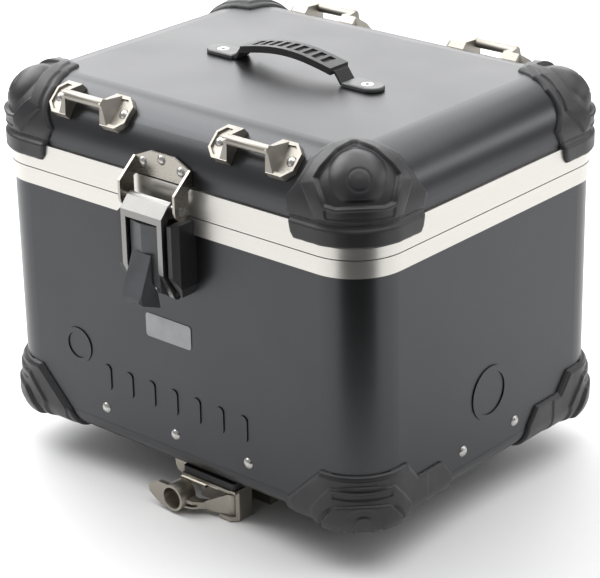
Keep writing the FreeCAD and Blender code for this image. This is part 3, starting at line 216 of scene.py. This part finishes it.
# outlines seen along the corner's diagonal, tilted by TILT: across and up from the bend
LID_EDGE = both_sides([(0, 46), (18, 41.6), (33, 32), (45.7, 13), (54, 3.7), (49.7, -11.7),
                       (48.4, -21), (44, -31), (42, -70)])
LID_PANEL = both_sides([(0, 43.4), (18, 38.8), (31, 27), (40.5, 12), (29.6, -17), (26, -40)])
LID_RECESS = both_sides([(2, 39.4), (13, 33), (25, 21), (29.6, 14.2), (24, -5.8), (17, -8.8)])
BASE_LAYER = both_sides([(-24, 6), (-38.2, -10.2), (-34, -24), (-30, -70)])
BASE_BULB = both_sides([(-19, -8.6), (-28.8, -18.8), (-26, -30), (-20, -70)])
# outlines on the walls: along the wall from the corner, and up from the floor
BASE_FRONT = [(-45, 51), (30, 51), (30, -25), (-96, -25), (-80, 16)]
BASE_SIDE = [(52, 51), (-30, 51), (-30, -25), (118, -25), (109, 19), (97, 34), (66, 34)]


def inside_by(outline, a, b):
    # distance inside a closed outline, negative outside it
    nearest = 1e9
    within = False
    x0, y0 = outline[-1]
    for x1, y1 in outline:
        dx = x1 - x0
        dy = y1 - y0
        along = ((a - x0) * dx + (b - y0) * dy) / (dx * dx + dy * dy)
        along = min(1.0, max(0.0, along))
        nearest = min(nearest, math.hypot(a - x0 - along * dx, b - y0 - along * dy))
        if (y0 > b) != (y1 > b) and a < (x1 - x0) * (b - y0) / (y1 - y0) + x0:
            within = not within
        x0, y0 = x1, y1
    return nearest if within else -nearest


def ramp(value, low, high):
    part = min(1.0, max(0.0, (value - low) / (high - low)))
    return part * part * (3.0 - 2.0 * part)


def corner_skin(point, bend_z, bend_r, up):
    # nearest point of the case's rounded corner, and the way out of it there
    across = Vector((max(point.x - AXIS_X, 0.0), min(point.y - AXIS_Y, 0.0), 0.0))
    if across.length < 1e-6:
        across = Vector((1e-4, -1e-4, 0.0))
    wall = across.length - CORNER_R + bend_r
    lift = max((point.z - bend_z) * up, 0.0)
    if wall <= 0.0:
        return point + Vector((0, 0, up * (bend_r - lift))), Vector((0, 0, up))
    bend = math.hypot(wall, lift)
    out = across.normalized() * (wall / bend) + Vector((0, 0, up * lift / bend))
    return point + out * (bend_r - bend), out


def corner_view(spot, bend_z):
    # across and up, as the corner is seen along its diagonal from TILT above
    q = Vector((spot.x - AXIS_X, spot.y - AXIS_Y, spot.z - bend_z))
    across = (q.x + q.y) * DIAGONAL
    return across, q.z * math.cos(TILT) - (q.x - q.y) * DIAGONAL * math.sin(TILT)


def finish_edge(high, highest, below, edge):
    # the step up from below the outline's edge to the skin's own height
    return below + (min(high, highest) - below) * ramp(edge, EDGE_OUT, EDGE_IN)


def lid_height(spot, out):
    a, b = corner_view(spot, LID_BEND_Z)
    edge = min(inside_by(LID_EDGE, a, b), spot.z - SKIRT_LOW_Z)
    below = SUNK if spot.z < RIM_TOP_Z else -SUNK
    if edge < EDGE_OUT:
        return below
    # the skirt stands out over the rim, with a fine groove above it
    high = SKIN + 2.5 * (1.0 - ramp(spot.z, 258.0, 262.0))
    high -= 0.8 * ramp(spot.z, 262.2, 262.8) * (1.0 - ramp(spot.z, 263.6, 264.4))
    # a raised panel that swells inward, with a recess in it
    panel = min(inside_by(LID_PANEL, a, b), spot.z - 265.5)
    recess = inside_by(LID_RECESS, a, b)
    high += 1.9 * ramp(panel, 0.0, 0.9)
    high += 1.9 * min(1.0, max(0.0, (panel - 1.2) / 9.0))
    high -= 3.9 * ramp(recess, 0.0, 1.2)
    # a low band under the recess
    band = ramp(panel, 0.5, 1.0) * (1.0 - ramp(recess, -2.2, -1.2)) * ramp(spot.z, 267.5, 268.3)
    band *= 1.0 - ramp(spot.z, 275.0, 276.5)
    high -= 0.9 * band * ramp(24.0 - abs(a), 0.0, 1.5)
    # a dome in the recess, with a plain ring cut in it
    far = math.hypot(a, (b - 13.5) * 0.98) / 21.0
    if far < 1.0 and recess > 0.0:
        high += 5.6 * (1.0 - far ** 2.2) * ramp(b, -5.2, -2.6)
    boss = math.hypot(a, b - 9.5)
    high -= 0.7 * ramp(boss, 6.2, 6.9) * (1.0 - ramp(boss, 7.6, 8.3))
    high -= 0.9 * (1.0 - ramp(edge, 0.2, 2.0))
    return finish_edge(high, LID_HIGHEST, below, edge)


def base_height(spot, out):
    a, b = corner_view(spot, PAN_BEND_R)
    front = inside_by(BASE_FRONT, spot.x - HALF_W, spot.z)
    side = inside_by(BASE_SIDE, spot.y + HALF_D, spot.z)
    edge = min(front, side)
    if spot.z < 5.0:
        edge = min(edge, max(spot.x - 167.0, -124.5 - spot.y))
    if edge < EDGE_OUT:
        return -SUNK
    # no steps on the underside, which stays level
    facing = ramp(out.z, -0.93, -0.55)
    # a wide plate, then a layer with two grooves, then a bulb with a plain ring
    plate = 54.0 - 0.5 * max(0.0, -6.0 - b) - abs(a)
    high = SKIN
    high += 1.2 * facing * ramp(plate, 0.0, 1.2) * ramp(edge, 2.2, 3.4)
    layer = min(inside_by(BASE_LAYER, a, b), 44.5 - spot.z)
    high += 2.0 * facing * ramp(layer, 0.0, 2.2)
    for low, top in ((39.4, 41.6), (31.8, 37.0)):
        groove = ramp(spot.z, low, low + 0.7) * (1.0 - ramp(spot.z, top - 0.7, top))
        high -= 1.1 * groove * ramp(22.0 - abs(a), 0.0, 2.0)
    bulb = inside_by(BASE_BULB, a, b)
    moat = ramp(bulb, -2.4, -1.4) * (1.0 - ramp(bulb, -0.4, 0.2))
    high -= 1.3 * facing * moat * ramp(-b, 9.0, 12.0)
    high += 2.4 * facing * ramp(bulb, 0.0, 1.4)
    disc = math.hypot(a, b + 25.0)
    high -= 0.8 * facing * (1.0 - ramp(disc, 13.2, 14.4))
    high += 0.7 * facing * ramp(disc, 5.6, 6.3) * (1.0 - ramp(disc, 7.4, 8.1))
    high -= 0.9 * (1.0 - ramp(edge, 0.2, 1.8))
    return finish_edge(high, BASE_HIGHEST, -SUNK, edge)


def guard_shape(look_from, look_to, bend_z, bend_r, up, height, wide, tall):
    # a fine net of points thrown on the corner from inside, each lifted by its step height
    ahead = (look_to - look_from).normalized()
    across = Vector((0, 0, 1)).cross(ahead).normalized()
    above = ahead.cross(across)
    columns = int(2 * wide / NET_PITCH)
    rows = int(2 * tall / NET_PITCH)
    spots = []
    kept = []
    for row in range(rows + 1):
        for column in range(columns + 1):
            way = ahead + across * (column * NET_PITCH - wide) + above * (row * NET_PITCH - tall)
            way.normalize()
            reach = FIRST_REACH
            for _ in range(MOST_TRIES):
                point = look_from + way * reach
                spot, out = corner_skin(point, bend_z, bend_r, up)
                gap = (spot - point).dot(out)
                reach += gap * 0.95
                if abs(gap) < CLOSE_ENOUGH:
                    break
            high = height(spot, out)
            spots.append(spot + out * high)
            kept.append(high > SUNK + 0.001)
    faces = []
    for row in range(rows):
        for column in range(columns):
            i = row * (columns + 1) + column
            four = (i, i + 1, i + columns + 2, i + columns + 1)
            if any(kept[k] for k in four):
                faces.append(four)
    return spots, faces


lid_guard = guard_shape(Vector((95, -52, 235)), Vector((195, -152, 280)), LID_BEND_Z, CORNER_R,
                        1.0, lid_height, 0.72, 0.66)
base_guard = guard_shape(Vector((95, -52, 45)), Vector((195, -152, 10)), PAN_BEND_R, PAN_BEND_R,
                         -1.0, base_height, 1.12, 0.62)

GUARD_COLOUR = (0.018, 0.018, 0.020)
guard_black = Finish("guard_polyamide", GUARD_COLOUR, 0.0, 0.42)
guard_black.two_tone(guard_black.noise(35.0, 4.0), tone(GUARD_COLOUR, 0.86), tone(GUARD_COLOUR, 1.2))
guard_black.vary_roughness(guard_black.noise(90.0, 3.0), 0.37, 0.47)
guard_black.bump(guard_black.noise(2100.0, 2.0), 0.25, 0.00012)


def guard_piece(name, shape, flip_x, flip_y, body):
    spots, faces = shape
    placed = [(flip_x * p.x * MM, (flip_y * p.y + CASE_BACK) * MM, (p.z + CASE_LIFT) * MM)
              for p in spots]
    used = sorted({i for four in faces for i in four})
    order = {old: new for new, old in enumerate(used)}
    turned = faces if flip_x * flip_y > 0 else [tuple(reversed(four)) for four in faces]
    mesh = bpy.data.meshes.new(name)
    numbered = [tuple(order[i] for i in four) for four in turned]
    mesh.from_pydata([placed[i] for i in used], [], numbered)
    mesh.polygons.foreach_set("use_smooth", [True] * len(mesh.polygons))
    mesh.materials.append(guard_black.material)
    piece = bpy.data.objects.new(name, mesh)
    bpy.context.collection.objects.link(piece)
    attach(piece, body)
    return piece


CORNERS = {"front_right": (1, 1), "front_left": (-1, 1), "rear_right": (1, -1), "rear_left": (-1, -1)}
for corner, (flip_x, flip_y) in CORNERS.items():
    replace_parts(guard_piece("moulded_lid_guard_" + corner, lid_guard, flip_x, flip_y, "lid"),
                "lid_guard_" + corner)
    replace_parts(guard_piece("moulded_base_guard_" + corner, base_guard, flip_x, flip_y, "case"),
                "base_guard_" + corner)

# ---- Lashing eyes ----------------------------------------------------------------------------
# Four investment-cast stainless loops, bead blasted, with their edges rounded. Each is held by two
# dome-head screws in its pockets and by nuts inside the lid.
EYE_COLOUR = (0.35, 0.33, 0.295)


def cast_metal(name, colour, rough, cloud_scale=60.0, worn=1.12):
    cast = Finish(name, colour, 1.0, rough)
    cloud = cast.noise(cloud_scale, 4.0)
    pits = cast.noise(1300.0, 3.0)
    cast.two_tone(cast.blend(cloud, pits, 0.35), tone(colour, 0.88), tone(colour, worn))
    cast.vary_roughness(cloud, rough - 0.05, rough + 0.06)
    cast.bump(pits, 0.3, 0.00018)
    return cast


eye_cast = cast_metal("cast_stainless_eye", EYE_COLOUR, 0.42)
eye_names = ["lashing_eye_" + corner for corner in CORNERS]
paint(eye_names, eye_cast)
soften(eye_names, 0.55)

# ---- Rivets, screws and nuts -----------------------------------------------------------------
# Turned and headed stainless fasteners, bright with fine turning marks: dome rivets along the pan,
# dome screws in the eyes, countersunk screws in the handle, nuts inside, and the pins that parts
# turn on. The corner guards' screws are blackened steel.
BRIGHT_COLOUR = (0.52, 0.51, 0.49)
bright = Finish("turned_stainless", BRIGHT_COLOUR, 1.0, 0.30)
bright_marks = bright.noise(220.0, 3.0, (1.0, 1.0, 4.0))
bright.two_tone(bright_marks, tone(BRIGHT_COLOUR, 0.9), tone(BRIGHT_COLOUR, 1.06))
bright.vary_roughness(bright_marks, 0.26, 0.36)
bright.bump(bright_marks, 0.1, 0.00008)
paint(["base_rivets", "lashing_eye_screws", "lashing_eye_nuts", "handle_screws", "handle_nuts",
       "latch_bracket_rivets", "latch_bracket_pin", "latch_screws", "lever_pin", "bail_pin",
       "body_hinge_rivets", "lid_hinge_rivets", "hinge_pin", "trap_pivot_pin", "trap_bolts",
       "rack_hook_bolts", "lock_barrel"], bright)
BLACKENED_COLOUR = (0.035, 0.035, 0.037)
blackened = cast_metal("blackened_screw_steel", BLACKENED_COLOUR, 0.42)
paint(["base_guard_screws", "lid_guard_screws"], blackened)

# ---- Latch and rear hinge --------------------------------------------------------------------
# A folded stainless bracket riveted to the lid carries a pin; a die-cast aluminium bail hooks
# over it and is pulled down by a moulded lever with a lock hood, in a black housing. The hinge's
# two leaves and the plates inside are of the bracket's stainless sheet.
FOLDED_COLOUR = (0.40, 0.375, 0.335)
folded = Finish("folded_stainless", FOLDED_COLOUR, 1.0, 0.27)
folded_lines = folded.noise(320.0, 4.0, (1.0, 1.0, 12.0))
folded.two_tone(folded_lines, tone(FOLDED_COLOUR, 0.9), tone(FOLDED_COLOUR, 1.08))
folded.vary_roughness(folded_lines, 0.23, 0.33)
folded.bump(folded_lines, 0.06, 0.00005)
paint(["latch_bracket", "body_hinge_leaf", "lid_hinge_leaf", "floor_doubler",
       "handle_backing_plates", "latch_backing_plate"], folded)
soften(["latch_bracket"], 0.35)
soften(["body_hinge_leaf", "lid_hinge_leaf"], 0.4)

BAIL_COLOUR = (0.26, 0.257, 0.25)
bail_cast = cast_metal("satin_die_casting", BAIL_COLOUR, 0.34, 40.0, 1.08)
paint(["bail"], bail_cast)
soften(["bail"], 0.9, 3)


def moulding(name, colour, rough):
    plastic = Finish(name, colour, 0.0, rough)
    cloud = plastic.noise(55.0, 3.0)
    plastic.two_tone(cloud, tone(colour, 0.86), tone(colour, 1.15))
    plastic.vary_roughness(cloud, rough - 0.05, rough + 0.05)
    plastic.bump(plastic.noise(1800.0, 2.0), 0.2, 0.0001)
    return plastic


HOUSING_COLOUR = (0.020, 0.020, 0.022)
LEVER_COLOUR = (0.070, 0.072, 0.079)
paint(["latch_housing"], moulding("housing_moulding", HOUSING_COLOUR, 0.36))
paint(["lever_panel", "lock_hood"], moulding("lever_moulding", LEVER_COLOUR, 0.42))
soften(["latch_housing", "lever_panel", "lock_hood"], 0.5)

# ---- Rack clamp and hooks --------------------------------------------------------------------
# Bead-blasted stainless castings under the pan: a clamp with a swinging lever and lock bore at
# the front on a black rubber pad, and two fixed hooks at the back, all bolted through the floor.
# The lid's seal is of the pad's rubber.
CLAMP_COLOUR = (0.36, 0.335, 0.29)
PAD_COLOUR = (0.018, 0.018, 0.019)
clamp_cast = cast_metal("cast_stainless_clamp", CLAMP_COLOUR, 0.38, 45.0, 1.15)
clamp_names = ["trap_base", "trap_lever", "trap_jaw", "rack_hook_left", "rack_hook_right"]
paint(clamp_names, clamp_cast)
soften(clamp_names, 0.5)
pad_rubber = moulding("pad_rubber_black", PAD_COLOUR, 0.55)
paint(["trap_pad", "lid_seal"], pad_rubber)

# ---- Name badge ------------------------------------------------------------------------------
# A plain foil plate in satin grey, with rounded corners and nothing printed on it. It is stuck to
# the front wall under the latch.
BADGE_COLOUR = (0.34, 0.345, 0.35)
paint(["front_badge"], moulding("badge_foil", BADGE_COLOUR, 0.38))

# ---- Carry handle ----------------------------------------------------------------------------
# A black woven strap held under two painted caps, with a rubber grip round its middle. The grip's
# top has nine shallow pockets side by side, and the strap shows its weave at both ends.
CAP_COLOUR = (0.085, 0.085, 0.088)
GRIP_COLOUR = (0.030, 0.030, 0.031)
STRAP_COLOUR = (0.028, 0.028, 0.030)
WEAVE_DARK = (0.012, 0.012, 0.013)
WEAVE_LIGHT = (0.055, 0.055, 0.058)
paint(["handle_cap_left", "handle_cap_right"], moulding("handle_cap_paint", CAP_COLOUR, 0.36))
soften(["handle_cap_left", "handle_cap_right"], 0.5)
paint(["handle_grip"], moulding("grip_rubber_black", GRIP_COLOUR, 0.44))
soften(["handle_grip"], 0.9, 3)

strap_weave = Finish("strap_weave", STRAP_COLOUR, 0.0, 0.75)


def weave_bands(direction, scale):
    bands = strap_weave.node("ShaderNodeTexWave")
    bands.bands_direction = direction
    bands.inputs["Scale"].default_value = scale
    strap_weave.join(strap_weave.where(), bands.inputs["Vector"])
    return bands.outputs["Fac"]


weave = strap_weave.blend(weave_bands("Y", 420.0), weave_bands("Z", 380.0), 0.5)
strap_weave.two_tone(weave, WEAVE_DARK, WEAVE_LIGHT)
strap_weave.bump(weave, 0.9, 0.0006)
paint(["handle_strap"], strap_weave)

# ---- Floor, light and camera ----------------------------------------------------------------
# A plain pale floor in even white light, with soft boxes at the left, at the back and overhead. A
# black flag off the front corner gives the coat its dark band there. The camera has a long lens.
FLOOR_COLOUR = (0.86, 0.86, 0.86)
FLAG_COLOUR = (0.01, 0.01, 0.01)
FLOOR_HALF = 6.0
SKY_STRENGTH = 0.42


def studio_sheet(name, corners, finish):
    mesh = bpy.data.meshes.new(name)
    mesh.from_pydata(corners, [], [(0, 1, 2, 3)])
    mesh.materials.append(finish.material)
    sheet = bpy.data.objects.new(name, mesh)
    bpy.context.collection.objects.link(sheet)
    return sheet


floor = studio_sheet("floor", [(-FLOOR_HALF, -FLOOR_HALF, 0), (FLOOR_HALF, -FLOOR_HALF, 0),
                               (FLOOR_HALF, FLOOR_HALF, 0), (-FLOOR_HALF, FLOOR_HALF, 0)],
                     Finish("pale_floor", FLOOR_COLOUR, 0.0, 0.7))

world = bpy.data.worlds.new("studio")
bpy.context.scene.world = world
world.use_nodes = True
sky = world.node_tree.nodes["Background"]
sky.inputs["Color"].default_value = (1.0, 1.0, 1.0, 1.0)
sky.inputs["Strength"].default_value = SKY_STRENGTH


def soft_box(name, place, aim, wide, high, power):
    light = bpy.data.lights.new(name, "AREA")
    light.shape = "RECTANGLE"
    light.size = wide
    light.size_y = high
    light.energy = power
    lamp = bpy.data.objects.new(name, light)
    lamp.location = place
    lamp.rotation_euler = (Vector(aim) - Vector(place)).to_track_quat("-Z", "Y").to_euler()
    bpy.context.collection.objects.link(lamp)


soft_box("back_left_box", (-1.5, 1.75, 1.15), (0, 0, 0.25), 2.4, 1.5, 30.0)
soft_box("left_box", (-1.3, -0.2, 1.5), (0, 0, 0.25), 1.9, 1.1, 30.0)
soft_box("back_right_strip", (1.35, 1.5, 0.85), (0, 0, 0.3), 1.6, 0.35, 6.0)
soft_box("top_box", (0.2, 0.5, 2.4), (0, 0, 0.2), 3.4, 3.4, 78.0)

flag = studio_sheet("black_flag", [(0.22, -0.53, 0.0), (0.58, -0.17, 0.0), (0.58, -0.17, 0.32),
                                   (0.22, -0.53, 0.32)],
                    Finish("flag_black", FLAG_COLOUR, 0.0, 0.9))
flag.visible_camera = False

CAMERA_PLACE = (1.2078, -1.3555, 0.9306)
CAMERA_RIGHT = (0.75585, 0.65450, -0.01796)
CAMERA_UP = (-0.23918, 0.30154, 0.92297)
CAMERA_BACK = (0.60950, -0.69332, 0.38446)
camera_data = bpy.data.cameras.new("camera")
camera_data.sensor_width = 36.0
camera_data.lens = 136.7
camera_data.shift_x = -0.0053
camera_data.shift_y = -0.044
camera_data.clip_end = 50.0
camera = bpy.data.objects.new("camera", camera_data)
turn = Matrix((CAMERA_RIGHT, CAMERA_UP, CAMERA_BACK)).transposed()
camera.matrix_world = Matrix.Translation(CAMERA_PLACE) @ turn.to_4x4()
bpy.context.collection.objects.link(camera)
bpy.context.scene.camera = camera
bpy.context.scene.view_settings.view_transform = "Standard"
